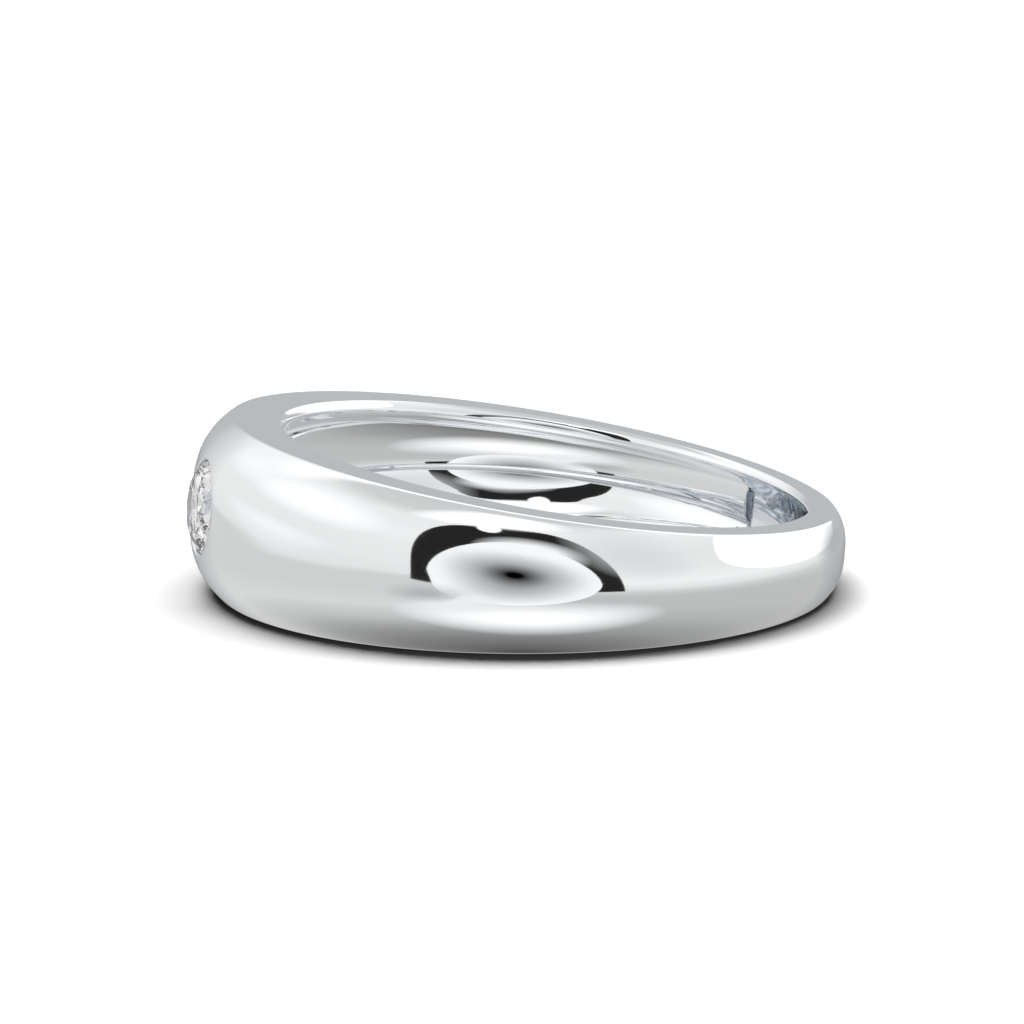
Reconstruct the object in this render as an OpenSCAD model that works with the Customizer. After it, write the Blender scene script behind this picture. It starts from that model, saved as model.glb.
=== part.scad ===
// Flush set gypsy ring: a domed, tapering band with one round brilliant sunk in its head.
// Millimetres. The ring lies on one of its flat side faces, which is on z = 0.
// The head with the stone looks along -Y, and the axis of the finger hole meets z = 0 at
// the origin. The side faces taper from the head to the back, so that axis leans by the taper.

/* [Finger hole] */
// Diameter of the finger hole
hole_d = 16.5; // [15:0.05:21]
// How much the hole's rounded edge opens out at each side face, in radius
edge_flare = 0.15; // [0.05:0.01:0.2]
// Depth of that rounded edge
edge_depth = 0.3; // [0.2:0.05:0.35]

/* [Band] */
// Width across the two side faces, measured at the axis of the finger hole
centre_w = 4; // [3.6:0.05:5]
// Angle between each side face and the middle plane of the ring
taper_deg = 4.75; // [3:0.25:5.5]
// Thickness of the head at the top of the dome
head_t = 2.75; // [2.5:0.05:3.2]
// Thickness of the back of the shank at the top of the dome
back_t = 1.35; // [1.1:0.05:1.6]
// Width of the flat side face at the head
head_side_t = 1.65; // [1.4:0.05:1.8]
// Width of the flat side face at the back
back_side_t = 0.95; // [0.7:0.05:0.95]
// Shape of the dome's section at the head: 2 is an even arch, more is flatter on top
head_arch = 3.2; // [2:0.1:4]
// Shape of the dome's section at the two sides
side_arch = 2.1; // [2:0.1:4]
// Shape of the dome's section at the back
back_arch = 3; // [2:0.1:4]

/* [Hollow inside] */
// Metal left between the hollow and the dome
wall_t = 1.1; // [0.9:0.05:1.2]
// Width of the lip on each side of the hollow
lip_w = 0.5; // [0.4:0.05:0.8]
// How far behind the finger hole's axis the hollow ends
hollow_end = 7.55; // [6:0.05:7.7]
// Radius of the two corners at each end of the hollow
hollow_corner_r = 0.25; // [0.1:0.05:0.4]

/* [Stone] */
// Diameter of the round brilliant
stone_d = 2.95; // [2.5:0.05:3.1]
// Width of its table, as a part of the diameter
table_part = 0.64; // [0.53:0.01:0.66]
// Angle of the crown's main facets
crown_deg = 34.5; // [30:0.5:37]
// Angle of the pavilion's main facets
pavilion_deg = 40.75; // [39:0.25:43]
// Height of the girdle, as a part of the diameter
girdle_part = 0.03; // [0.02:0.005:0.05]
// Distance from the finger hole's axis to the table
table_out = 11.15; // [11:0.05:11.4]
// How far the stone sits above the ring's middle plane
stone_rise = 0.15; // [0:0.05:0.3]
// Clearance between the stone and its seat
seat_gap = 0.03; // [0.02:0.01:0.05]

/* [Hidden] */
$fn = 96;
hole_r = hole_d / 2;
stone_r = stone_d / 2;
table_r = stone_r * table_part;
crown_h = (stone_r - table_r) * tan(crown_deg);
girdle_h = stone_d * girdle_part;
pavilion_h = stone_r * tan(pavilion_deg);
culet_h = 0.02;
// Steps of the dome's skin round the ring and across it
round_steps = 96;
cross_steps = 14;
// The dome's skin runs a little past the side faces, which then cut it off flat
overrun = 1.08;
// Larger than the whole ring, for cutting shapes
big = 30;

// Half the band's width at y, between the two sloping side faces
function half_w(y) = centre_w / 2 - tan(taper_deg) * y;

// Distance from the hole's axis to a circle that passes the head at one distance and the
// back at another, at an angle from the head
function ring_r(angle, head, back) =
    let(r = (head + back) / 2, shift = (head - back) / 2)
    shift * cos(angle) + sqrt(pow(r, 2) - pow(shift * sin(angle), 2));

// A value that has three given sizes at the head, the sides and the back
function blend(angle, head, side, back) =
    (head + back) / 4 + side / 2
    + (head - back) / 2 * cos(angle)
    + ((head + back) / 4 - side / 2) * cos(2 * angle);

// Distance from the hole's axis to the dome. across is 0 in the middle and 1 at a side face
function dome_r(angle, across) =
    let(
        top = ring_r(angle, hole_r + head_t, hole_r + back_t),
        side = ring_r(angle, hole_r + head_side_t, hole_r + back_side_t),
        arch = blend(angle, head_arch, side_arch, back_arch)
    )
    top - (top - side) * pow(abs(across), arch);

function dome_point(angle, across, inset) =
    let(r = dome_r(angle, across) - inset, y = -r * cos(angle))
    [r * sin(angle), y, across * half_w(y)];

// Puts a shape that is drawn about the ring's middle plane on its lower side face
module lay_down() {
    rotate([-taper_deg, 0, 0])
        translate([0, 0, centre_w / 2])
            children();
}

// A solid disc with the band's domed edge, taken in by an inset
module domed_disc(inset = 0) {
    points = [
        for (j = [0 : cross_steps])
            for (i = [0 : round_steps - 1])
                dome_point(i * 360 / round_steps, overrun * (2 * j / cross_steps - 1), inset)
    ];
    skin = [
        for (j = [0 : cross_steps - 1])
            for (i = [0 : round_steps - 1])
                let(
                    a = j * round_steps,
                    b = a + round_steps,
                    next = (i + 1) % round_steps
                )
                [a + i, b + i, b + next, a + next]
    ];
    bottom = [for (i = [0 : round_steps - 1]) i];
    top = [for (i = [round_steps - 1 : -1 : 0]) cross_steps * round_steps + i];
    polyhedron(points, concat(skin, [bottom, top]), convexity = 4);
}

// The room between the two side faces
module between_sides() {
    rotate([90, 0, 90])
        linear_extrude(2 * big, center = true)
            polygon([
                [-big / 2, half_w(-big / 2)],
                [big / 2, half_w(big / 2)],
                [big / 2, -half_w(big / 2)],
                [-big / 2, -half_w(-big / 2)]
            ]);
}

// The finger hole with its edges opened out where it meets the side faces
module finger_hole() {
    cylinder(h = big, r = hole_r, center = true);
    for (side = [-1, 1])
        rotate([-side * taper_deg, 0, 0])
            translate([0, 0, side * half_w(0) * cos(taper_deg)])
                mirror([0, 0, side < 0 ? 1 : 0])
                    translate([0, 0, -2 * edge_depth])
                        cylinder(
                            h = 3 * edge_depth,
                            r1 = hole_r - edge_flare,
                            r2 = hole_r + 2 * edge_flare
                        );
}

// Seen from the side, the hollow is a wedge with rounded corners at its end
module hollow_outline() {
    corner_y = hollow_end - hollow_corner_r;
    corner_z = half_w(corner_y) - lip_w - hollow_corner_r / cos(taper_deg);
    touch_y = corner_y + hollow_corner_r * sin(taper_deg);
    touch_z = corner_z + hollow_corner_r * cos(taper_deg);
    polygon([
        [-big / 2, half_w(-big / 2) - lip_w],
        [touch_y, touch_z],
        [hollow_end, corner_z],
        [hollow_end, -corner_z],
        [touch_y, -touch_z],
        [-big / 2, lip_w - half_w(-big / 2)]
    ]);
    for (side = [-1, 1])
        translate([corner_y, side * corner_z])
            circle(hollow_corner_r);
}

// The metal taken out behind the head and shoulders, which leaves a wall of even thickness
module hollow() {
    intersection() {
        domed_disc(inset = wall_t);
        rotate([90, 0, 90])
            linear_extrude(2 * big, center = true)
                hollow_outline();
    }
}

// Stands a shape that is drawn along +Z on the stone's axis, with z = 0 at its girdle's top
module at_girdle() {
    translate([0, crown_h - table_out, stone_rise])
        rotate([90, 0, 0])
            children();
}

// Seat: a straight hole down to the girdle and a cone under the pavilion
module seat() {
    seat_r = stone_r + seat_gap;
    at_girdle() {
        translate([0, 0, -girdle_h - seat_gap])
            cylinder(h = big / 4, r = seat_r);
        translate([0, 0, -girdle_h - seat_gap - pavilion_h])
            cylinder(h = pavilion_h, r1 = 0, r2 = seat_r);
    }
}

module band() {
    color("gainsboro")
        lay_down()
            difference() {
                intersection() {
                    domed_disc();
                    between_sides();
                }
                finger_hole();
                hollow();
                seat();
            }
}

// Everything below one facet: a plane that slopes down outwards and, seen from above, turned
// round the axis, which it meets the height z = 0 at a distance from
module under_facet(slope, turn, reach) {
    rotate([0, 0, turn])
        translate([reach, 0, 0])
            rotate([0, slope, 0])
                translate([-2 * stone_d, -2 * stone_d, -4 * stone_d])
                    cube(4 * stone_d);
}

// Angle between neighbouring points of the sixteen-part facet layout
step = 22.5;
// Slope of a facet that joins the girdle to a tip at the radius r and the height h
function girdle_slope(r, h) = atan(h / ((stone_r - r) * cos(step / 2)));
// The mains are cut this much deeper than the girdle's edge, and the stars than their tips
bite = 0.01;
main_reach = stone_r - bite;
// Height of a main facet above the girdle on the line half-way to its neighbour
function ridge_h(r, slope) = (main_reach - r * cos(step)) * tan(slope);

// Crown: eight mains, eight stars round the table and sixteen facets along the girdle,
// each as [slope, turn, reach]
table_edge = table_r * cos(step);
star_tip_r = (table_edge + stone_r) / 2;
star_tip_h = ridge_h(star_tip_r, crown_deg);
star_deg = atan((crown_h - star_tip_h + bite) / (star_tip_r - table_edge));
upper_deg = girdle_slope(star_tip_r, star_tip_h);
crown_facets = concat(
    [for (k = [0 : 7]) [crown_deg, 2 * k * step, main_reach]],
    [for (k = [0 : 7]) [star_deg, (2 * k + 1) * step, table_edge + crown_h / tan(star_deg)]],
    [for (k = [0 : 15]) [upper_deg, (k + 0.5) * step, stone_r * cos(step / 2)]]
);

// Pavilion, drawn upside down: eight mains and sixteen facets along the girdle
lower_tip_r = stone_r * 0.24;
lower_deg = girdle_slope(lower_tip_r, ridge_h(lower_tip_r, pavilion_deg));
pavilion_facets = concat(
    [for (k = [0 : 7]) [pavilion_deg, 2 * k * step, main_reach]],
    [for (k = [0 : 15]) [lower_deg, (k + 0.5) * step, stone_r * cos(step / 2)]]
);

module facets(list) {
    intersection_for(facet = list)
        under_facet(facet[0], facet[1], facet[2]);
}

// The round girdle carries all facets, and its two ends are the table and a tiny culet
module brilliant() {
    depth = girdle_h + pavilion_h - culet_h;
    intersection() {
        translate([0, 0, -depth])
            cylinder(h = depth + crown_h, r = stone_r);
        facets(crown_facets);
        translate([0, 0, -girdle_h])
            mirror([0, 0, 1])
                facets(pavilion_facets);
    }
}

module stone() {
    color("aliceblue")
        lay_down()
            at_girdle()
                brilliant();
}

band();
stone();
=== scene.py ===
"""Looks of a flush set gypsy ring: a polished domed band with a round brilliant sunk in it.

The band is modelled about the ring's middle plane, with the finger hole's axis along Z and the
head towards -Y, and is then laid down on its lower side face, as the band in model.glb is.
"""

import math

import bmesh
import bpy
from bpy.props import FloatProperty, PointerProperty
from mathutils import Matrix, Vector


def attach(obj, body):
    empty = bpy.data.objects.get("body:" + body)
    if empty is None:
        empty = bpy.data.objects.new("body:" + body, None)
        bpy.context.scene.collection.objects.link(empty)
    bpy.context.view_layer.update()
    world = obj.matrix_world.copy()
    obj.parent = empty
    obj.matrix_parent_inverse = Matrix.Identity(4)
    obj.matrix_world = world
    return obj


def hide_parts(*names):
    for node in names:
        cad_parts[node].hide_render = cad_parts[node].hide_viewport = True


bl_info = {
    "name": "Flush Set Gypsy Ring",
    "version": (1, 0, 0),
    "blender": (4, 5, 0),
    "location": "View3D > Sidebar > Ring",
    "description": "Polished domed band with one round brilliant sunk flush in its head",
    "category": "Object",
}

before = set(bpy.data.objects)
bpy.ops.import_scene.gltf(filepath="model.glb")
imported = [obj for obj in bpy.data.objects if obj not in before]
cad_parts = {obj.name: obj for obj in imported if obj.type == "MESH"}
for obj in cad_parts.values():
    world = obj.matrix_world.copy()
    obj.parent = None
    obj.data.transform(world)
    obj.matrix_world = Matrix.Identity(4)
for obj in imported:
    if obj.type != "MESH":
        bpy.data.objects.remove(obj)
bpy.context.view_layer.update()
MM = 0.001

# Columns of faces round the ring, and how many of them lie between the head and each end of
# the hollow
COLUMNS = 384
HOLLOW_COLUMNS = 164
# Rows of faces across the dome, a side face, a lip and the inside between the lips
DOME_ROWS = 48
FACE_ROWS = 6
LIP_ROWS = 7
INSIDE_ROWS = 44
# Places of the rows on the polished edge between dome and side face
EDGE_PLACES = (0.33, 0.67)
# Part of the polished edge's width by which the dome stops short of the side face
EDGE_SHARE = 0.7
# Columns over which the undercut of the lips runs out at each end of the hollow
FADE_COLUMNS = 24
# Largest part of the hollow's depth that its fillet takes up, and its least radius
FILLET_SHARE = 0.8
LEAST_FILLET = 0.01 * MM
# Half the columns and rows of the block of faces that the stone's seat replaces
SEAT_COLUMNS = 8
SEAT_ROWS = 12
# How far the grid round the seat spreads out per block size, and how many block sizes out it
# is moved, on the dome and on the hollow's floor
DOME_SPREAD = 1.35 * MM
DOME_REACH = 2.0
FLOOR_SPREAD = 1.3 * MM
FLOOR_REACH = 1.75
# Rows of faces across the seat's rounded rim
RIM_ROWS = 4
# Rounds after which a point that depends on its own radius has settled, on the band and on
# the dome at a given height
ROUNDS = 6
HEAD_ROUNDS = 8
# Edges that turn by more than this stay sharp
SHARP_ANGLE = math.radians(28)


# Sizes that a user may change


def length(name, description, millimetres):
    """A length, given in millimetres."""
    return FloatProperty(
        name=name, description=description, default=millimetres * MM, unit="LENGTH", precision=5
    )


def degrees(name, description, value):
    """An angle, given in degrees."""
    return FloatProperty(
        name=name, description=description, default=math.radians(value), subtype="ANGLE"
    )


def number(name, description, value):
    """A plain number."""
    return FloatProperty(name=name, description=description, default=value)


class BandSizes(bpy.types.PropertyGroup):
    """Sizes of the metal band."""

    hole_r: length("Hole radius", "Radius of the finger hole", 8.25)
    centre_w: length("Width", "Width across the side faces at the hole's axis", 4.0)
    taper: degrees("Taper", "Angle between each side face and the middle plane", 4.75)
    head_t: length("Head thickness", "Thickness of the head at the top of the dome", 2.75)
    back_t: length("Back thickness", "Thickness of the back at the top of the dome", 1.35)
    head_side_t: length("Head side", "Width of the side face at the head", 1.65)
    back_side_t: length("Back side", "Width of the side face at the back", 0.95)
    head_arch: number("Head arch", "Shape of the dome at the head", 3.2)
    side_arch: number("Side arch", "Shape of the dome at the sides", 2.1)
    back_arch: number("Back arch", "Shape of the dome at the back", 3.0)
    edge_r: length("Edge", "Width of the polished edge between dome and side face", 0.08)
    lip_w: length("Lip width", "Width of the lip on each side of the hollow", 0.5)
    lip_r: length("Lip roundness", "Radius of the lip's rounded section", 0.36)
    lip_top: length("Lip top", "Depth below the side face at which the hole is narrowest", 0.3)
    wall_t: length("Wall", "Metal left between the hollow and the dome", 1.1)
    hollow_end: length("Hollow end", "How far behind the hole's axis the hollow ends", 7.55)
    corner_r: length("Hollow corner", "Radius of the hollow's rounded corners", 0.25)
    fillet_r: length("Hollow fillet", "Radius of the round between floor and lip", 0.3)
    floor_arch: number("Floor arch", "Arch of the hollow's floor against the dome's", 1.6)
    floor_rise: length("Floor rise", "Height of the arch's top over the middle plane", 0.15)
    least_step: length("Least step", "Least depth of the hollow next to the lips", 0.06)


class SeatSizes(bpy.types.PropertyGroup):
    """Sizes of the stone's seat."""

    seat_r: length("Seat radius", "Radius of the hole that the stone sits in", 1.505)
    rise: length("Rise", "Distance of the stone's axis from the ring's middle plane", 0.15)
    rim: length("Rim", "Width of the burnished rim round the stone", 0.06)
    ledge: length("Ledge", "Distance from the hole's axis to the foot of the straight seat", 10.667)
    cone: length("Cone", "Depth of the seat's cone", 1.271)


def new_object(name, mesh, material):
    """Makes an edited mesh an object of the scene."""
    data = bpy.data.meshes.new(name)
    mesh.to_mesh(data)
    mesh.free()
    data.materials.append(material)
    made = bpy.data.objects.new(name, data)
    bpy.context.scene.collection.objects.link(made)
    return made


# The band's surface


def half_width(sizes, y):
    """Half the band's width at y, between the two sloping side faces."""
    return sizes.centre_w / 2 - math.tan(sizes.taper) * y


def ring_radius(angle, head, back):
    """Distance to a circle that passes the head at one distance and the back at another."""
    mean = (head + back) / 2
    shift = (head - back) / 2
    return shift * math.cos(angle) + math.sqrt(mean**2 - (shift * math.sin(angle)) ** 2)


def blend(angle, head, side, back):
    """A value that has three given sizes at the head, the sides and the back."""
    ends = (head + back) / 4
    return (
        ends
        + side / 2
        + (head - back) / 2 * math.cos(angle)
        + (ends - side / 2) * math.cos(2 * angle)
    )


def dome_radius(sizes, angle, across):
    """Distance from the hole's axis to the dome; across is 0 in the middle and 1 at a side."""
    top = ring_radius(angle, sizes.hole_r + sizes.head_t, sizes.hole_r + sizes.back_t)
    side = ring_radius(angle, sizes.hole_r + sizes.head_side_t, sizes.hole_r + sizes.back_side_t)
    arch = blend(angle, sizes.head_arch, sizes.side_arch, sizes.back_arch)
    return top - (top - side) * abs(across) ** arch


def eased(share):
    """A share from 0 to 1 that starts and ends softly."""
    share = min(max(share, 0), 1)
    return share * share * (3 - 2 * share)


def at(angle, radius, z):
    """A point by its angle from the head, its distance from the hole's axis and its height."""
    return Vector((radius * math.sin(angle), -radius * math.cos(angle), z))


def lip_radius(sizes, depth, undercut=1.0):
    """Radius of the rounded lip at a depth; past the hollow's end it isn't undercut."""
    reach = sizes.lip_top - depth
    rounding = sizes.lip_r - math.sqrt(sizes.lip_r**2 - reach**2)
    return sizes.hole_r + rounding * (undercut if reach < 0 else 1)


def hollow_angle(sizes, radius):
    """Angle from the head at which the hollow's end plane crosses a radius."""
    return math.pi - math.acos(min(sizes.hollow_end / radius, 1))


def column_angle(sizes, column):
    """Angle of a column, with one column exactly on each end of the hollow."""
    end = hollow_angle(sizes, sizes.hole_r)
    steps = abs(column)
    if steps <= HOLLOW_COLUMNS:
        turn = end * steps / HOLLOW_COLUMNS
    else:
        turn = end + (math.pi - end) * (steps - HOLLOW_COLUMNS) / (COLUMNS / 2 - HOLLOW_COLUMNS)
    return math.copysign(turn, column)


def section_rows():
    """The rows of the band's section, once round it, as kind, side and place along that kind."""
    rows = [("dome", 1, 2 * i / DOME_ROWS - 1) for i in range(DOME_ROWS + 1)]
    rows += [("edge", 1, place) for place in EDGE_PLACES]
    rows += [("face", 1, i / FACE_ROWS) for i in range(FACE_ROWS)]
    rows += [("lip", 1, i / LIP_ROWS) for i in range(LIP_ROWS)]
    # The rows inside lie closer together towards the lips, where the floor is rounded
    rows += [
        ("inside", 1, math.cos(math.pi * i / INSIDE_ROWS)) for i in range(INSIDE_ROWS + 1)
    ]
    rows += [("lip", -1, 1 - i / LIP_ROWS) for i in range(1, LIP_ROWS + 1)]
    rows += [("face", -1, 1 - i / FACE_ROWS) for i in range(1, FACE_ROWS + 1)]
    rows += [("edge", -1, place) for place in reversed(EDGE_PLACES)]
    return rows


def settle(angle, radius, surface):
    """Repeats a surface's own rule until its radius no longer changes."""
    for _ in range(ROUNDS):
        radius = surface(angle, radius)
    return radius


def dome_point(sizes, angle, place):
    """A point of the dome, which stops short of the side faces by the polished edge."""

    def across(radius):
        width = half_width(sizes, -radius * math.cos(angle))
        return place * (1 - EDGE_SHARE * sizes.edge_r / width), width

    radius = settle(angle, sizes.hole_r, lambda a, r: dome_radius(sizes, a, across(r)[0]))
    share, width = across(radius)
    return at(angle, radius, share * width)


def edge_point(sizes, angle, place):
    """A point of the polished edge between the dome and the side face."""
    start = dome_point(sizes, angle, 1)
    corner_r = dome_radius(sizes, angle, 1)
    corner = at(angle, corner_r, half_width(sizes, -corner_r * math.cos(angle)))
    inner_r = corner_r - sizes.edge_r
    inner = at(angle, inner_r, half_width(sizes, -inner_r * math.cos(angle)))
    return start.lerp(corner, place).lerp(corner.lerp(inner, place), place)


def face_point(sizes, angle, place):
    """A point of the flat side face."""
    outer = dome_radius(sizes, angle, 1) - sizes.edge_r
    inner = lip_radius(sizes, 0)
    radius = outer + (inner - outer) * place
    return at(angle, radius, half_width(sizes, -radius * math.cos(angle)))


def lip_point(sizes, angle, place, undercut):
    """A point of the rounded lip between the side face and the hollow."""
    depth = sizes.lip_w * place
    radius = lip_radius(sizes, depth, undercut)
    return at(angle, radius, half_width(sizes, -radius * math.cos(angle)) - depth)


def inside_point(sizes, angle, place, undercut):
    """A point of the hole's wall between the lips."""
    radius = lip_radius(sizes, sizes.lip_w, undercut)
    y = -radius * math.cos(angle)
    return at(angle, radius, place * (half_width(sizes, y) - sizes.lip_w))


def section_point(sizes, row, column):
    """A point of the band before the hollow and the seat are cut."""
    kind, side, place = row
    angle = column_angle(sizes, column)
    undercut = eased((HOLLOW_COLUMNS - abs(column)) / FADE_COLUMNS)
    if kind == "dome":
        return dome_point(sizes, angle, place)
    if kind == "inside":
        return inside_point(sizes, angle, place, undercut)
    if kind == "lip":
        point = lip_point(sizes, angle, place, undercut)
    elif kind == "edge":
        point = edge_point(sizes, angle, place)
    else:
        point = face_point(sizes, angle, place)
    point.z *= side
    return point


# The hollow


def round_corner(sizes, y, z):
    """Moves a point near the hollow's upper end corner to follow the corner's round."""
    corner_y = sizes.hollow_end - sizes.corner_r
    corner_z = (
        half_width(sizes, corner_y) - sizes.lip_w - sizes.corner_r / math.cos(sizes.taper)
    )
    lean = math.pi / 2 - sizes.taper
    leg = sizes.corner_r * math.tan(lean / 2)
    along_lip = (sizes.hollow_end - y) / math.cos(sizes.taper)
    along_end = half_width(sizes, y) - sizes.lip_w - z
    far, near = max(along_lip, along_end), min(along_lip, along_end)
    if far >= leg:
        return y, z
    turn = lean / 2 * (1 - far / leg)
    if along_lip >= along_end:
        turn = lean - turn
        foot_y = sizes.hollow_end - far * math.cos(sizes.taper)
        foot_z = half_width(sizes, foot_y) - sizes.lip_w
    else:
        foot_y = sizes.hollow_end
        foot_z = half_width(sizes, foot_y) - sizes.lip_w - far
    ease = 1 - near / (2 * leg)
    moved_y = corner_y + sizes.corner_r * math.cos(turn) - foot_y
    moved_z = corner_z + sizes.corner_r * math.sin(turn) - foot_z
    return y + moved_y * ease, z + moved_z * ease


def fillet(sizes, gap, depth):
    """How much the round between floor and lip takes off the hollow's depth near the lip."""
    radius = max(min(sizes.fillet_r, FILLET_SHARE * depth), LEAST_FILLET)
    if gap >= radius:
        return 0
    return radius - math.sqrt(radius**2 - (radius - max(gap, 0)) ** 2)


def skin_radius(sizes, angle, y, z, inset):
    """Distance from the hole's axis to the dome or, with an inset, to the hollow's floor."""
    width = half_width(sizes, y)
    if not inset:
        return dome_radius(sizes, angle, z / width)
    # The wall is even, so the floor is more arched than the dome outside it
    top = dome_radius(sizes, angle, 0)
    drop = top - dome_radius(sizes, angle, (z - sizes.floor_rise) / width)
    least = lip_radius(sizes, sizes.lip_w) + sizes.least_step
    return max(top - inset - sizes.floor_arch * drop, least)


def floor_radius(sizes, angle, z, radius):
    """Distance from the hole's axis to the hollow's floor at a height."""

    def surface(turn, r):
        return skin_radius(sizes, turn, -r * math.cos(turn), z, sizes.wall_t)

    return settle(angle, radius, surface)


def hollow_point(sizes, column, place):
    """A point of the hollow's floor, squeezed so that its ends lie on the end plane."""
    share = abs(column_angle(sizes, column)) / hollow_angle(sizes, sizes.hole_r)

    def reach(turn, radius):
        return half_width(sizes, -radius * math.cos(turn)) - sizes.lip_w

    radius = sizes.hole_r
    for _ in range(ROUNDS):
        z = place * reach(share * hollow_angle(sizes, radius), radius)
        floor_end = floor_radius(sizes, hollow_angle(sizes, radius), z, radius)
        turn = share * hollow_angle(sizes, floor_end)
        radius = floor_radius(sizes, turn, z, radius)
    gap = (1 - abs(place)) * reach(turn, radius)
    cover = fillet(sizes, gap, radius - lip_radius(sizes, sizes.lip_w))
    radius -= cover
    turn = share * hollow_angle(sizes, radius)
    flat_y = -radius * math.cos(turn)
    y, height = round_corner(sizes, flat_y, abs(place) * reach(turn, radius))
    if y != flat_y:
        for _ in range(ROUNDS):
            turn = math.acos(-y / radius)
            radius = floor_radius(sizes, turn, height, radius) - cover
    return at(math.copysign(turn, column), radius, math.copysign(height, place))


def hollow_mouth_point(sizes, point):
    """A point on the hollow's mouth, moved to follow the rounded corners."""
    y, height = round_corner(sizes, point.y, abs(point.z))
    radius = math.hypot(point.x, point.y)
    x = math.copysign(math.sqrt(max(radius**2 - y**2, 0)), point.x)
    return Vector((x, y, math.copysign(height, point.z)))


# The stone's seat


def seat_place(seat, point, column, row, hole_r, spread, reach):
    """Where a grid point near the seat goes, so that the grid runs round the hole."""
    u = column / SEAT_COLUMNS
    v = row / SEAT_ROWS
    ring = max(abs(u), abs(v))
    if abs(u) >= abs(v):
        turn = math.pi / 4 * v / u + (math.pi if u < 0 else 0)
    else:
        turn = math.copysign(math.pi / 2, v) - math.pi / 4 * u / v
    radius = hole_r + (ring - 1) * spread
    round_x = radius * math.cos(turn)
    round_z = seat.rise + radius * math.sin(turn)
    ease = eased((ring - 1) / (reach - 1))
    return round_x + (point.x - round_x) * ease, round_z + (point.z - round_z) * ease, turn


def on_head(sizes, x, z, inset):
    """The point of the dome's head, or of the hollow's floor behind it, at x and z."""
    y = -(sizes.hole_r + sizes.head_t - inset)
    for _ in range(HEAD_ROUNDS):
        radius = skin_radius(sizes, math.atan2(x, -y), y, z, inset)
        y = -math.sqrt(radius**2 - x**2)
    return Vector((x, y, z))


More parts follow.
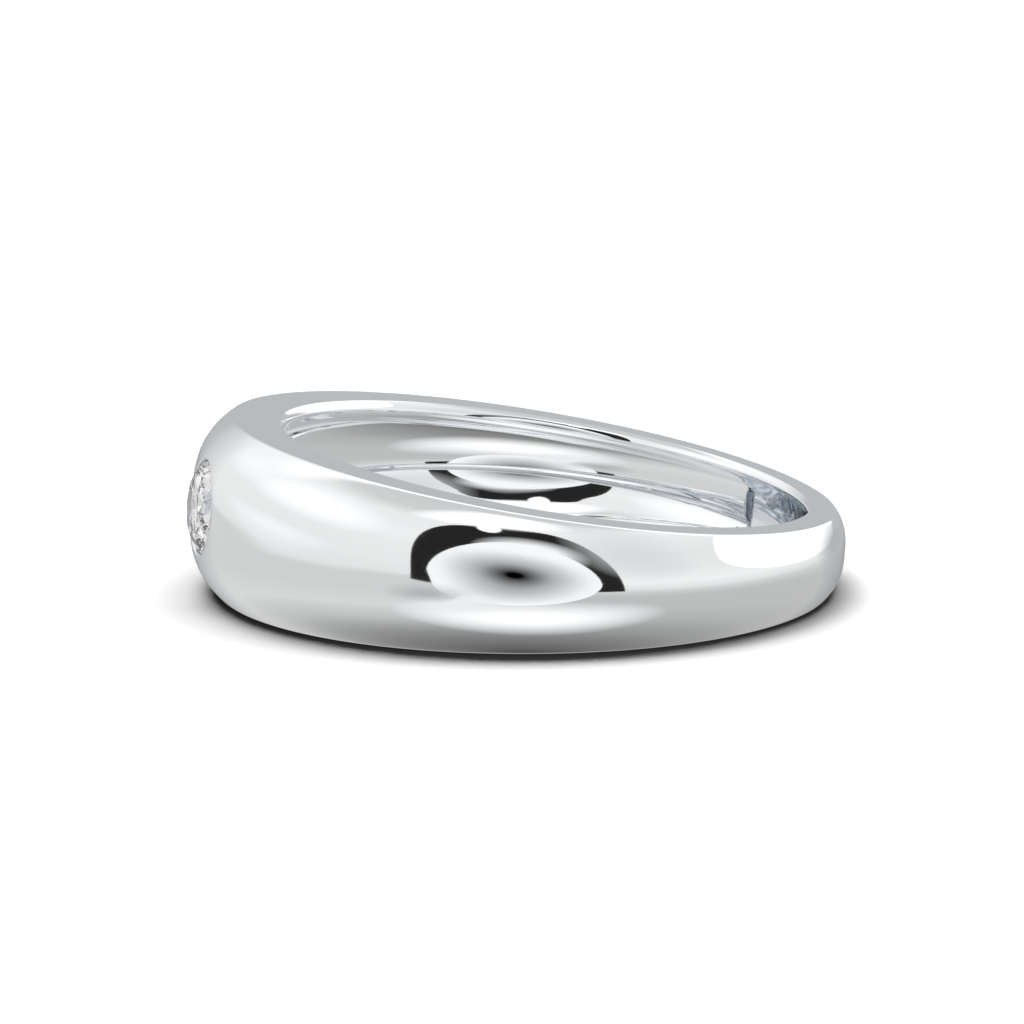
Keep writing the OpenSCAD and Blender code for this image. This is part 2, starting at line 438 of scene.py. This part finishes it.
class BandMesh:
    """The band's mesh while it is made, with each vertex's column, row and turn in layers."""

    def __init__(self, sizes, seat):
        self.sizes = sizes
        self.seat = seat
        self.rows = section_rows()
        self.mesh = bmesh.new()
        layers = self.mesh.verts.layers
        self.column = layers.int.new("column")
        self.row = layers.int.new("row")
        self.turn = layers.float.new("turn")

    def kind(self, vert):
        """Kind of row that a vertex lies on."""
        return self.rows[vert[self.row]][0]

    def offset(self, vert):
        """Rows between a vertex and the middle one of its kind."""
        place = self.rows[vert[self.row]][2]
        if self.kind(vert) == "dome":
            return round(place * DOME_ROWS / 2)
        return round((0.5 - math.acos(place) / math.pi) * INSIDE_ROWS)

    def spin_section(self):
        """Spins the section once round the hole's axis and puts each vertex in its place."""
        verts = []
        for index, row in enumerate(self.rows):
            vert = self.mesh.verts.new(section_point(self.sizes, row, 0))
            vert[self.row] = index
            verts.append(vert)
        edges = [self.mesh.edges.new((verts[i - 1], verts[i])) for i in range(len(verts))]
        bmesh.ops.spin(
            self.mesh,
            geom=verts + edges,
            cent=(0, 0, 0),
            axis=(0, 0, 1),
            angle=2 * math.pi,
            steps=COLUMNS,
            use_merge=True,
        )
        for vert in self.mesh.verts:
            turn = math.atan2(vert.co.x, -vert.co.y)
            vert[self.column] = round(turn / (2 * math.pi) * COLUMNS)
        for vert in self.mesh.verts:
            row = self.rows[vert[self.row]]
            vert.co = section_point(self.sizes, row, vert[self.column])

    def cut_hollow(self):
        """Pushes the faces between the lips out to the hollow's floor."""

        def in_hollow(face):
            return all(
                self.kind(v) == "inside" and abs(v[self.column]) <= HOLLOW_COLUMNS
                for v in face.verts
            )

        block = [face for face in self.mesh.faces if in_hollow(face)]
        made = bmesh.ops.extrude_face_region(self.mesh, geom=block)["geom"]
        bmesh.ops.delete(self.mesh, geom=block, context="FACES")
        floor = [item for item in made if isinstance(item, bmesh.types.BMVert)]
        mouth = set()
        for vert in floor:
            mouth.update(e.other_vert(vert) for e in vert.link_edges)
        mouth -= set(floor)
        for vert in mouth:
            vert.co = hollow_mouth_point(self.sizes, vert.co)
        for vert in floor:
            place = self.rows[vert[self.row]][2]
            vert.co = hollow_point(self.sizes, vert[self.column], place)
        return floor

    def open_seat(self, verts, hole_r, spread, reach, inset):
        """Opens a round hole in the grid of the dome or of the hollow's floor."""
        for vert in verts:
            column, row = vert[self.column], self.offset(vert)
            ring = max(abs(column) / SEAT_COLUMNS, abs(row) / SEAT_ROWS)
            if not 1 <= ring < reach:
                continue
            x, z, turn = seat_place(self.seat, vert.co, column, row, hole_r, spread, reach)
            vert.co = on_head(self.sizes, x, z, inset)
            vert[self.turn] = turn
        inner = set(verts)

        def in_block(face):
            return all(
                v in inner
                and abs(v[self.column]) <= SEAT_COLUMNS
                and abs(self.offset(v)) <= SEAT_ROWS
                for v in face.verts
            )

        block = [face for face in self.mesh.faces if in_block(face)]
        edges = [edge for face in block for edge in face.edges]
        rim = [edge for edge in edges if not all(in_block(face) for face in edge.link_faces)]
        bmesh.ops.delete(self.mesh, geom=block, context="FACES")
        return rim

    def seat_ring(self, edges, place):
        """Extrudes a ring of edges and puts each new vertex where place says."""
        made = bmesh.ops.extrude_edge_only(self.mesh, edges=edges)["geom"]
        for vert in made:
            if isinstance(vert, bmesh.types.BMVert):
                vert.co = place(vert[self.turn])
        return [edge for edge in made if isinstance(edge, bmesh.types.BMEdge)]

    def cut_seat(self, floor):
        """Cuts the seat: a rounded rim, a straight wall and a cone into the hollow."""
        sizes, seat = self.sizes, self.seat
        floor_out = sizes.hole_r + sizes.head_t - sizes.wall_t
        floor_r = seat.seat_r * (1 - (seat.ledge - floor_out) / seat.cone)
        dome = [v for v in self.mesh.verts if self.kind(v) == "dome"]
        edges = self.open_seat(dome, seat.seat_r + seat.rim, DOME_SPREAD, DOME_REACH, 0)
        inner = self.open_seat(floor, floor_r, FLOOR_SPREAD, FLOOR_REACH, sizes.wall_t)

        def on_seat(turn, radius, depth):
            x = radius * math.cos(turn)
            z = seat.rise + radius * math.sin(turn)
            point = on_head(sizes, x, z, 0)
            point.y += depth
            return point

        for row in range(1, RIM_ROWS + 1):
            lean = row / RIM_ROWS * math.pi / 2
            radius = seat.seat_r + seat.rim * (1 - math.sin(lean))
            depth = seat.rim * (1 - math.cos(lean))
            edges = self.seat_ring(edges, lambda turn: on_seat(turn, radius, depth))

        def ledge(turn):
            point = on_seat(turn, seat.seat_r, 0)
            point.y = -seat.ledge
            return point

        edges = self.seat_ring(edges, ledge)
        bmesh.ops.bridge_loops(self.mesh, edges=edges + inner)

    def finish(self, name, material):
        """Lays the band down on its side face and makes it an object."""
        lay = Matrix.Rotation(-self.sizes.taper, 4, "X")
        lay @= Matrix.Translation((0, 0, self.sizes.centre_w / 2))
        bmesh.ops.transform(self.mesh, matrix=lay, verts=self.mesh.verts)
        bmesh.ops.recalc_face_normals(self.mesh, faces=self.mesh.faces)
        piece = new_object(name, self.mesh, material)
        piece.data.shade_smooth()
        piece.data.set_sharp_from_angle(angle=SHARP_ANGLE)
        return piece


# Materials


def linear(code):
    """Linear colour of an sRGB hex value."""
    parts = [int(code[i : i + 2], 16) / 255 for i in (1, 3, 5)]
    return [p / 12.92 if p <= 0.04045 else ((p + 0.055) / 1.055) ** 2.4 for p in parts] + [1]


def add_node(tree, kind, inputs=None, **settings):
    """Adds a node with its settings, and sets or links its inputs."""
    node = tree.nodes.new(kind)
    for key, value in settings.items():
        setattr(node, key, value)
    for key, value in (inputs or {}).items():
        if isinstance(value, bpy.types.NodeSocket):
            tree.links.new(value, node.inputs[key])
        else:
            node.inputs[key].default_value = value
    return node


def set_ramp(node, stops):
    """Gives a colour ramp its stops, as places and grey levels or hex colours."""
    elements = node.color_ramp.elements
    while len(elements) < len(stops):
        elements.new(1)
    for element, (place, colour) in zip(elements, stops):
        element.position = place
        element.color = linear(colour) if isinstance(colour, str) else [colour] * 3 + [1]


def new_material(name):
    """A material with an empty node tree and its output."""
    material = bpy.data.materials.new(name)
    material.use_nodes = True
    material.node_tree.nodes.clear()
    return material, material.node_tree


def white_gold():
    """White gold, rhodium plated and mirror polished: bright, neutral and hard-edged.

    The buff leaves hairlines too fine to see one by one and a faint unevenness of the gloss.
    """
    material, tree = new_material("white_gold_mirror_polish")
    place = add_node(tree, "ShaderNodeTexCoord").outputs["Object"]
    # Patches of slightly duller polish, about 1.5 mm across
    patches = add_node(
        tree, "ShaderNodeTexNoise", {"Vector": place, "Scale": 0.7 / MM, "Detail": 3.0}
    )
    gloss = add_node(
        tree,
        "ShaderNodeMapRange",
        {
            "Value": patches.outputs["Fac"],
            "From Min": 0.3,
            "From Max": 0.7,
            "To Min": 0.03,
            "To Max": 0.05,
        },
    )
    # Hairlines of the buff, drawn 0.08 mm apart, which is coarser than real ones
    hairs = add_node(tree, "ShaderNodeTexNoise", {"Vector": place, "Scale": 12 / MM, "Detail": 2.0})
    bump = add_node(
        tree,
        "ShaderNodeBump",
        {"Height": hairs.outputs["Fac"], "Strength": 0.15, "Distance": 0.0004 * MM},
    )
    shader = add_node(
        tree,
        "ShaderNodeBsdfPrincipled",
        {
            "Base Color": linear("#F0F2F4"),
            "Metallic": 1.0,
            "Roughness": gloss.outputs["Result"],
            "Normal": bump.outputs["Normal"],
        },
    )
    add_node(tree, "ShaderNodeOutputMaterial", {"Surface": shader.outputs["BSDF"]})
    return material


def brilliant():
    """Diamond, cut and polished: clear, with the highest gloss and strong refraction."""
    material, tree = new_material("diamond_polished_facets")
    place = add_node(tree, "ShaderNodeTexCoord").outputs["Object"]
    # Polish lines on the facets, about 0.1 mm apart
    lines = add_node(tree, "ShaderNodeTexNoise", {"Vector": place, "Scale": 10 / MM})
    gloss = add_node(
        tree,
        "ShaderNodeMapRange",
        {"Value": lines.outputs["Fac"], "To Min": 0.0, "To Max": 0.02},
    )
    shader = add_node(
        tree,
        "ShaderNodeBsdfPrincipled",
        {
            "Base Color": linear("#FDFDFF"),
            "Roughness": gloss.outputs["Result"],
            "IOR": 2.42,
            "Transmission Weight": 1.0,
        },
    )
    add_node(tree, "ShaderNodeOutputMaterial", {"Surface": shader.outputs["BSDF"]})
    return material


# The studio


class StudioSettings(bpy.types.PropertyGroup):
    """The camera and the light round the ring."""

    azimuth: degrees("Azimuth", "Where the camera stands round the ring", 78.471)
    elevation: degrees("Elevation", "Height of the camera above the floor as an angle", 12.165)
    distance: length("Distance", "Distance from the camera to the ring", 666.67)
    lens: number("Lens", "Focal length in millimetres", 746.36)
    right: length("Aim right", "How far the camera stands to the right of its axis", -0.927)
    up: length("Aim up", "How far the camera stands above its axis", -0.5551)
    card_distance: length("Cards", "Distance from the ring to the cards", 1200.0)


# The point that the camera turns about, and its sensor's width in millimetres
AIM = Vector((0, 0.216 * MM, 2.996 * MM))
SENSOR_WIDTH = 36
# The least and the largest distance that the camera sees, and half the floor's width, in metres
NEAR_CLIP = 0.05
FAR_CLIP = 5
FLOOR_SIZE = 6
# Each layer of cards lies this part of their distance in front of the one behind it
LAYER = 0.01


def fade(start, cover=1.0):
    """Cover of a card that begins to fade at a part of the way out and is gone at the edge."""
    return [(start, cover), (1.0, 0.0)]


FIRM = fade(0.8)
SOFT = fade(0.2)
# The soft cards that the polished metal mirrors: name, degrees to the camera's right and above
# the horizon, half width and half height as parts of the distance, brightness, cover, layer
SOFT_CARDS = (
    # A softbox overhead with a small one just below it, and the dusk at the right one's far end
    ("top_softbox", -4, 60.5, 0.42, 0.15, 1.3, fade(0.5), 4),
    ("notch", -4.7, 52, 0.065, 0.075, 1.3, FIRM, 5),
    ("right_dusk", 150, -4, 0.4, 0.24, 0.5, fade(0.3), 2),
    # A bright ceiling behind the ring, which only the rounded lips and edges mirror
    ("ceiling_light", 180, 62, 1.1, 0.42, 1.25, fade(0.6), 1),
    ("right_ceiling_light", 145, 50, 0.5, 0.4, 1.25, FIRM, 2),
    ("left_ceiling_light", -152, 42, 0.42, 0.34, 1.02, SOFT, 2),
    # Broad soft light from the left, and a streak of it on the horizon
    ("left_softbox", -84, 33, 0.68, 0.37, 1.2, SOFT, 0),
    ("far_left_softbox", -128, 31, 0.3, 0.28, 1.08, SOFT, 1),
    ("left_streak", -97, -1, 0.6, 0.11, 1.04, fade(0.2, 0.9), 1),
    # The glow on the table in front of the ring, and the dull places beside the arch
    ("low_glow", 4, -43, 0.95, 0.42, 1.2, SOFT, 0),
    ("low_left_glow", -22, -25, 0.3, 0.24, 0.95, SOFT, 1),
    ("left_dull", -32, -17, 0.3, 0.15, 0.42, fade(0.1, 0.75), 2),
    ("right_dull", 50, 30, 0.42, 0.62, 0.77, fade(0.2, 0.8), 0),
)
# Half sizes and middles of the halo round the white disc and of the shade in front of it
HALO = (0.42, 0.44, 0.17, 0.6)
SHADE = (0.55, 0.55, -0.005, 0.046)
# Cover of the shade from its middle outwards, which makes the disc's dark, soft middle
DARK_MIDDLE = [
    (0.08, 1.0),
    (0.16, 0.9),
    (0.29, 0.73),
    (0.39, 0.57),
    (0.66, 0.27),
    (0.85, 0.07),
    (1.0, 0.0),
]
# The mirrored room as degrees above the horizon and brightness: a ground that darkens towards
# the ring, partly a painted reflection of the shade round the ring's foot, a horizon that is sharp
# on the left and soft on the right, and a ceiling
LEFT_ROOM = [
    (-90, 0.09),
    (-82.5, 0.16),
    (-75, 0.205),
    (-60, 0.345),
    (-45, 0.6),
    (-30, 0.765),
    (-15, 0.71),
    (-7.4, 0.715),
    (-6.6, 0.88),
    (0, 0.92),
    (15, 0.93),
    (30, 0.98),
    (52, 0.94),
    (55, 0.87),
    (61.6, 0.71),
    (90, 0.67),
]
RIGHT_ROOM = [
    (-90, 0.09),
    (-82.5, 0.13),
    (-75, 0.2),
    (-60, 0.35),
    (-45, 0.5),
    (-30, 0.57),
    (-15.5, 0.582),
    (-11, 0.71),
    (-7.5, 0.875),
    (0, 1.0),
    (15, 0.91),
    (30, 0.9),
    (50, 0.98),
    (55, 0.87),
    (61.6, 0.71),
    (90, 0.67),
]
# Half the breadth of the change between the two sides of the room, as the sine of an angle
ROOM_BLEND = 0.35
# The room is duller and a little blue behind the ring, as the cosine of the angle and colour
BEHIND = [(0.7, "#FFFEFD"), (0.9, "#DCDDDE"), (0.96, "#C6C9CB"), (1.0, "#C2C5C7")]
# Brightness of the room where it lights the floor
FAINT = 0.08
# Name, degrees to the camera's right and strength of each lamp; their height in degrees, and
# the angle that a lamp takes up in the sky, which softens the shadow
LAMPS = (("left_lamp", -138, 2.9), ("right_lamp", 142, 1.8))
LAMP_HEIGHT = 67
LAMP_SIZE = math.radians(34)


def toward(studio, azimuth, elevation):
    """Direction from the ring, by degrees to the camera's right and above the horizon."""
    turn = studio.azimuth + math.radians(azimuth)
    rise = math.radians(elevation)
    level = Vector((math.sin(turn), -math.cos(turn), 0))
    return level * math.cos(rise) + Vector((0, 0, math.sin(rise)))


def add_camera(studio):
    """The camera, with a long lens, at the photo's angle."""
    back = toward(studio, 0, math.degrees(studio.elevation))
    right = toward(studio, 90, 0)
    up = back.cross(right)
    data = bpy.data.cameras.new("camera")
    data.sensor_width = SENSOR_WIDTH
    data.lens = studio.lens
    data.clip_start = NEAR_CLIP
    data.clip_end = FAR_CLIP
    camera = bpy.data.objects.new("camera", data)
    turn = Matrix((right, up, back)).transposed().to_4x4()
    place = AIM + right * studio.right + up * studio.up + back * studio.distance
    camera.matrix_world = Matrix.Translation(place) @ turn
    bpy.context.scene.collection.objects.link(camera)
    bpy.context.scene.camera = camera


def new_card(studio, name, way, mesh, material, layer):
    """A card that faces the ring, is seen only as a reflection and casts no shadow."""
    bmesh.ops.scale(mesh, vec=(studio.card_distance,) * 3, verts=mesh.verts)
    card = new_object(name, mesh, material)
    side = Vector((-way.y, way.x, 0)).normalized()
    turn = Matrix((side, way.cross(side), way)).transposed().to_4x4()
    distance = studio.card_distance * (1 - LAYER * layer)
    card.matrix_world = Matrix.Translation(way * distance) @ turn
    card.visible_camera = False
    card.visible_diffuse = False
    card.visible_shadow = False


def ellipse(width, height, x=0.0, y=0.0, depth=None, narrowing=0.0, lean=0.0):
    """A flat ellipse, by its half sizes and its middle, in units of the card's distance.

    Its lower half can have a depth of its own, and its upper half can narrow and lean.
    """
    mesh = bmesh.new()
    bmesh.ops.create_circle(mesh, cap_ends=True, segments=128, radius=1)
    for vert in mesh.verts:
        rise = max(vert.co.y, 0)
        vert.co.x = x + width * vert.co.x * (1 - narrowing * rise) + lean * rise
        vert.co.y = y + (depth if depth and not rise else height) * vert.co.y
    return mesh


def arch(width, height, foot, closing=0.15, lean=0.03):
    """A flat arch with square shoulders: its legs close in, and it leans a little."""
    mesh = bmesh.new()
    bmesh.ops.create_circle(mesh, cap_ends=True, segments=256, radius=1)
    for vert in mesh.verts:
        side = math.copysign(math.sqrt(abs(vert.co.x)), vert.co.x)
        rise = math.sqrt(max(vert.co.y, 0))
        vert.co.x = width * side * (1 - closing * rise) + lean * rise
        vert.co.y = foot - lean * vert.co.x + height * rise
    return mesh


def card_light(studio, name, level, width=1.0, height=1.0, x=0.0, y=0.0, cover=None):
    """Light of a card; cover gives how solid it is from its middle, 0, to its edge, 1."""
    material, tree = new_material(name)
    light = add_node(tree, "ShaderNodeEmission", {"Color": (1, 1, 1, 1), "Strength": level})
    surface = light.outputs["Emission"]
    if cover:
        place = add_node(tree, "ShaderNodeTexCoord").outputs["Object"]
        unit = studio.card_distance
        centred = add_node(
            tree,
            "ShaderNodeMapping",
            {
                "Vector": place,
                "Location": (-x / width, -y / height, 0),
                "Scale": (1 / (width * unit), 1 / (height * unit), 1),
            },
        )
        out = add_node(
            tree, "ShaderNodeVectorMath", {0: centred.outputs["Vector"]}, operation="LENGTH"
        )
        ramp = add_node(tree, "ShaderNodeValToRGB", {"Fac": out.outputs["Value"]})
        set_ramp(ramp, cover)
        clear = add_node(tree, "ShaderNodeBsdfTransparent")
        mixed = add_node(
            tree,
            "ShaderNodeMixShader",
            {0: ramp.outputs["Color"], 1: clear.outputs["BSDF"], 2: surface},
        )
        surface = mixed.outputs["Shader"]
    add_node(tree, "ShaderNodeOutputMaterial", {"Surface": surface})
    return material


def add_cards(studio):
    """The cards and soft lights that the polished metal mirrors."""
    front = toward(studio, 0, 0)
    # A dark arch, and in front of it a white disc with a dark, soft middle
    tent = arch(0.775, 1.56, -0.2)
    new_card(studio, "dark_arch", front, tent, card_light(studio, "arch_cloth", 0.02), 0)
    halo = card_light(studio, "halo_light", 1.0, *HALO, cover=fade(0.45))
    new_card(studio, "halo", front, ellipse(*HALO), halo, 1)
    disc = ellipse(0.58, 0.83, -0.02, -0.03, depth=0.45, narrowing=0.2, lean=0.1)
    new_card(studio, "white_disc", front, disc, card_light(studio, "disc_light", 1.06), 2)
    shade = card_light(studio, "disc_shade", 0.0, *SHADE, cover=DARK_MIDDLE)
    new_card(studio, "soft_shade", front, ellipse(*SHADE), shade, 3)
    # A softbox to the right, which cuts off sharply
    bright = card_light(studio, "softbox_light", 1.3)
    new_card(studio, "right_softbox", toward(studio, 124, 20), ellipse(0.86, 0.42), bright, 0)
    for name, azimuth, elevation, width, height, level, cover, layer in SOFT_CARDS:
        light = card_light(studio, name + "_light", level, width, height, cover=cover)
        way = toward(studio, azimuth, elevation)
        new_card(studio, name, way, ellipse(width, height), light, layer)


def add_sky(tree, height, stops):
    """Brightness of one side of the room, by degrees above the horizon and level."""
    ramp = add_node(tree, "ShaderNodeValToRGB", {"Fac": height})
    set_ramp(ramp, [((math.sin(math.radians(e)) + 1) / 2, level) for e, level in stops])
    return ramp.outputs["Color"]


def add_world(studio):
    """A faint light all round; mirrored, it is a pale room over a grey ground."""
    world = bpy.data.worlds.new("studio")
    bpy.context.scene.world = world
    world.use_nodes = True
    tree = world.node_tree
    tree.nodes.clear()
    way = add_node(tree, "ShaderNodeTexCoord").outputs["Generated"]
    parts = add_node(tree, "ShaderNodeSeparateXYZ", {"Vector": way})
    height = add_node(
        tree, "ShaderNodeMapRange", {"Value": parts.outputs["Z"], "From Min": -1.0}
    ).outputs["Result"]
    side = add_node(
        tree,
        "ShaderNodeVectorMath",
        {0: way, 1: tuple(toward(studio, 90, 0))},
        operation="DOT_PRODUCT",
    )
    share = add_node(
        tree,
        "ShaderNodeMapRange",
        {"Value": side.outputs["Value"], "From Min": -ROOM_BLEND, "From Max": ROOM_BLEND},
        interpolation_type="SMOOTHSTEP",
    ).outputs["Result"]
    # Both sides' ground darkens straight down, partly as a painted reflection of the shade round
    # the ring's foot
    left = add_sky(tree, height, LEFT_ROOM)
    right = add_sky(tree, height, RIGHT_ROOM)
    room = add_node(
        tree, "ShaderNodeMix", {"Factor": share, 6: left, 7: right}, data_type="RGBA"
    )
    behind = add_node(
        tree,
        "ShaderNodeVectorMath",
        {0: way, 1: tuple(toward(studio, 180, 0))},
        operation="DOT_PRODUCT",
    )
    dim = add_node(tree, "ShaderNodeValToRGB", {"Fac": behind.outputs["Value"]})
    set_ramp(dim, BEHIND)
    dimmed = add_node(
        tree,
        "ShaderNodeMix",
        {"Factor": 1.0, 6: room.outputs[2], 7: dim.outputs["Color"]},
        data_type="RGBA",
        blend_type="MULTIPLY",
    )
    mirrored = add_node(tree, "ShaderNodeBackground", {"Color": dimmed.outputs[2]})
    white = (1, 1, 1, 1)
    seen = add_node(tree, "ShaderNodeBackground", {"Color": white})
    faint = add_node(tree, "ShaderNodeBackground", {"Color": white, "Strength": FAINT})
    ray = add_node(tree, "ShaderNodeLightPath")
    plain = add_node(
        tree,
        "ShaderNodeMixShader",
        {0: ray.outputs["Is Camera Ray"], 1: faint.outputs[0], 2: seen.outputs[0]},
    )
    mirror = add_node(
        tree,
        "ShaderNodeMath",
        {0: ray.outputs["Is Glossy Ray"], 1: ray.outputs["Is Transmission Ray"]},
        operation="MAXIMUM",
    )
    mixed = add_node(
        tree,
        "ShaderNodeMixShader",
        {0: mirror.outputs["Value"], 1: plain.outputs[0], 2: mirrored.outputs[0]},
    )
    add_node(tree, "ShaderNodeOutputWorld", {"Surface": mixed.outputs["Shader"]})


def add_lamps(studio):
    """Two big lamps high up, behind and to each side, for a soft shadow close to the ring."""
    for name, azimuth, energy in LAMPS:
        data = bpy.data.lights.new(name, "SUN")
        data.energy = energy
        data.angle = LAMP_SIZE
        lamp = bpy.data.objects.new(name, data)
        way = toward(studio, azimuth, LAMP_HEIGHT)
        lamp.matrix_world = way.to_track_quat("Z", "Y").to_matrix().to_4x4()
        lamp.visible_glossy = False
        lamp.visible_transmission = False
        bpy.context.scene.collection.objects.link(lamp)


def add_floor():
    """A plain white floor that the polished metal doesn't mirror."""
    mesh = bmesh.new()
    bmesh.ops.create_grid(mesh, x_segments=2, y_segments=2, size=FLOOR_SIZE)
    material, tree = new_material("floor_white_card")
    shader = add_node(tree, "ShaderNodeBsdfDiffuse", {"Color": linear("#E8E8E8")})
    add_node(tree, "ShaderNodeOutputMaterial", {"Surface": shader.outputs["BSDF"]})
    floor = new_object("floor", mesh, material)
    floor.visible_glossy = False
    floor.visible_transmission = False


# The steps and their panel


class RING_OT_band(bpy.types.Operator):
    """Makes the polished band with its hollow and the stone's seat"""

    bl_idname = "ring.make_band"
    bl_label = "Make Band"

    def execute(self, context):
        band = BandMesh(context.scene.band_sizes, context.scene.seat_sizes)
        band.spin_section()
        floor = band.cut_hollow()
        band.cut_seat(floor)
        piece = band.finish("polished_band", white_gold())
        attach(piece, "root")
        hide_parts("band")
        return {"FINISHED"}


class RING_OT_stone(bpy.types.Operator):
    """Finishes the brilliant"""

    bl_idname = "ring.finish_stone"
    bl_label = "Finish Stone"

    def execute(self, context):
        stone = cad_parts["stone"]
        material = brilliant()
        stone.data.materials.clear()
        stone.data.materials.append(material)
        return {"FINISHED"}


class RING_OT_stage(bpy.types.Operator):
    """Makes the white floor, the light and the camera"""

    bl_idname = "ring.make_stage"
    bl_label = "Make Stage"

    def execute(self, context):
        studio = context.scene.studio
        add_floor()
        add_world(studio)
        add_lamps(studio)
        add_cards(studio)
        add_camera(studio)
        context.scene.view_settings.view_transform = "Standard"
        # Polished walls that face each other, and a cut stone, send light on many times
        context.scene.cycles.max_bounces = 18
        context.scene.cycles.glossy_bounces = 14
        context.scene.cycles.transmission_bounces = 16
        # The metal throws no light on the floor beside it, so the shadow stays dark
        context.scene.cycles.caustics_reflective = False
        return {"FINISHED"}


class RING_PT_sidebar(bpy.types.Panel):
    """Sidebar tab with the ring's sizes and the steps that make it"""

    bl_idname = "RING_PT_sidebar"
    bl_label = "Flush Set Gypsy Ring"
    bl_space_type = "VIEW_3D"
    bl_region_type = "UI"
    bl_category = "Ring"

    def draw(self, context):
        scene = context.scene
        steps = (
            (scene.band_sizes, "ring.make_band"),
            (scene.seat_sizes, "ring.finish_stone"),
            (scene.studio, "ring.make_stage"),
        )
        for group, step in steps:
            box = self.layout.box()
            for key in type(group).__annotations__:
                box.prop(group, key)
            box.operator(step)


CLASSES = (
    BandSizes,
    SeatSizes,
    StudioSettings,
    RING_OT_band,
    RING_OT_stone,
    RING_OT_stage,
    RING_PT_sidebar,
)


def register():
    """Registers the classes and puts the three groups of settings on the scene."""
    for each in CLASSES:
        bpy.utils.register_class(each)
    bpy.types.Scene.band_sizes = PointerProperty(type=BandSizes)
    bpy.types.Scene.seat_sizes = PointerProperty(type=SeatSizes)
    bpy.types.Scene.studio = PointerProperty(type=StudioSettings)


def unregister():
    """Takes the settings off the scene and unregisters the classes."""
    del bpy.types.Scene.studio, bpy.types.Scene.seat_sizes, bpy.types.Scene.band_sizes
    for each in reversed(CLASSES):
        bpy.utils.unregister_class(each)


def main():
    register()
    bpy.ops.ring.make_band()
    bpy.ops.ring.finish_stone()
    bpy.ops.ring.make_stage()


if __name__ == "__main__":
    main()
